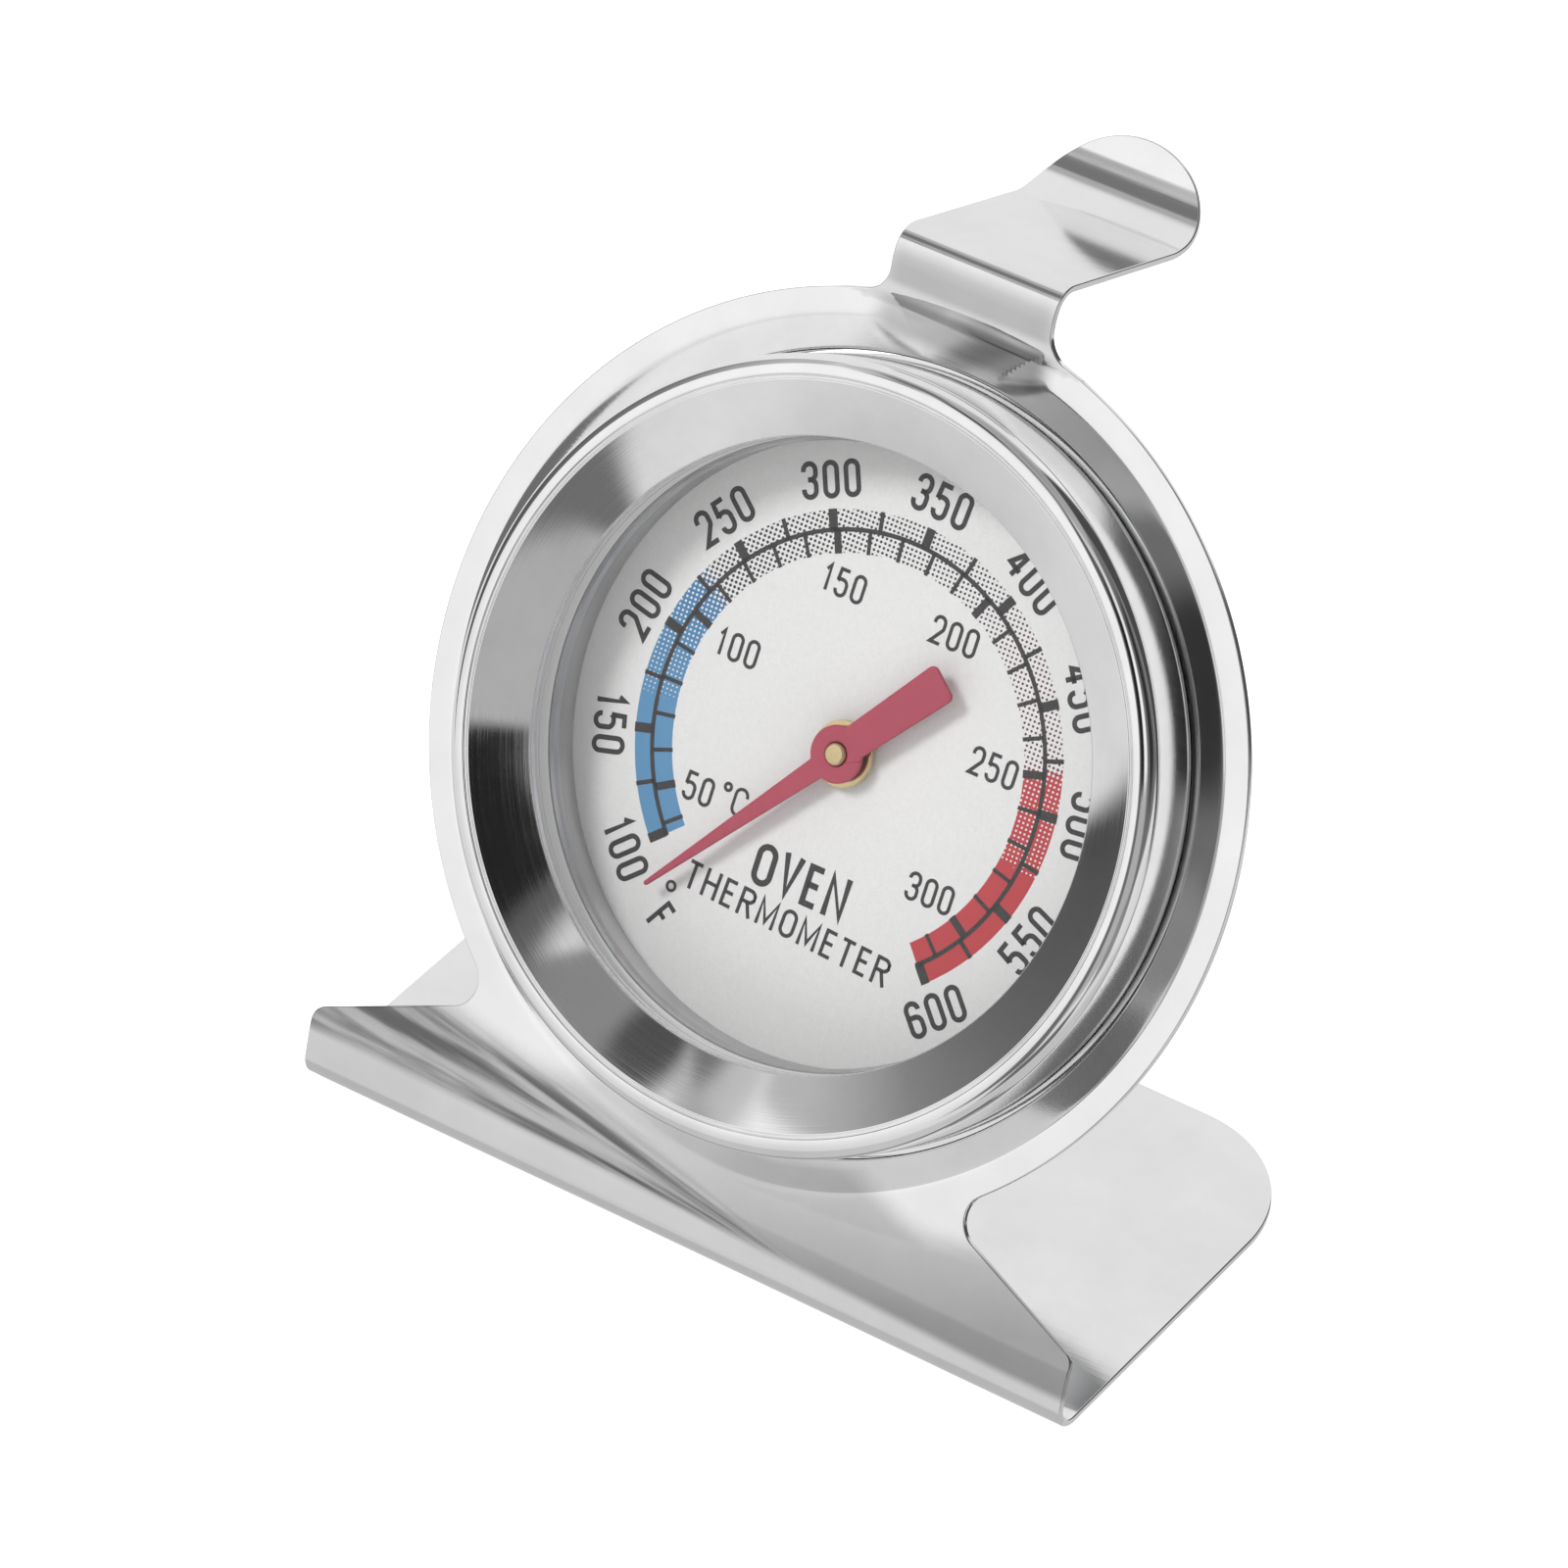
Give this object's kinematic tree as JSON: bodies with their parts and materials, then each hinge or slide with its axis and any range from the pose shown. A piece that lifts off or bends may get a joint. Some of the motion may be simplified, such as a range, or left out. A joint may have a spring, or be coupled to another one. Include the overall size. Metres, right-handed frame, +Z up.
{
  "type": "oven thermometer",
  "caption": "Bimetal dial oven thermometer in a stamped stainless stand that rests on its folded foot or hangs by its hook from a rack wire.",
  "frame": {"origin": "on the underside of the foot plate, straight below the centre of the dial", "axes": "+Z up, +X to the right of a person reading the dial, +Y away from them; the dial leans back 30.5 degrees"},
  "size_m": [0.06, 0.0532, 0.0597],
  "materials": {
    "polished_stainless": "bright polished stainless sheet with a faint rolled grain",
    "case_steel": "drawn stainless, satin",
    "plain_steel": "plain rolled steel",
    "lens": "clear flat glass",
    "seal": "matte heat-proof seal",
    "dial_print": "satin off-white enamel with a printed scale",
    "pointer_red": "satin dusty-red paint",
    "brass": "turned brass",
    "bimetal_strip": "rolled bimetal strip"
  },
  "bodies": {
    "housing": {"stand_plate": "polished_stainless", "bezel_ring": "polished_stainless", "lens_gasket": "seal", "lens_glass": "lens", "lens_seat_ring": "polished_stainless", "dial_spacer_ring": "polished_stainless", "dial_plate": "dial_print", "dial_backing_ring": "plain_steel", "case_cup": "case_steel", "case_retaining_ring": "plain_steel", "dial_bush": "brass", "movement_bridge": "plain_steel", "bridge_rivet_left": "plain_steel", "bridge_rivet_right": "plain_steel", "coil_anchor_post": "plain_steel", "bimetal_coil": "bimetal_strip", "rear_bush": "brass"},
    "pointer_arm": {"pointer": "pointer_red", "spindle": "brass", "spindle_clip": "plain_steel", "spindle_collar": "brass"}
  },
  "joints": [
    {"name": "pointer_spin", "type": "hinge", "parent": "housing", "child": "pointer_arm", "pos_m": [0, 0, 0.0305], "axis": [0, 0.8616, -0.5075], "range_deg": [-27, 280], "stiffness_Nm_per_rad": 0.004}
  ]
}
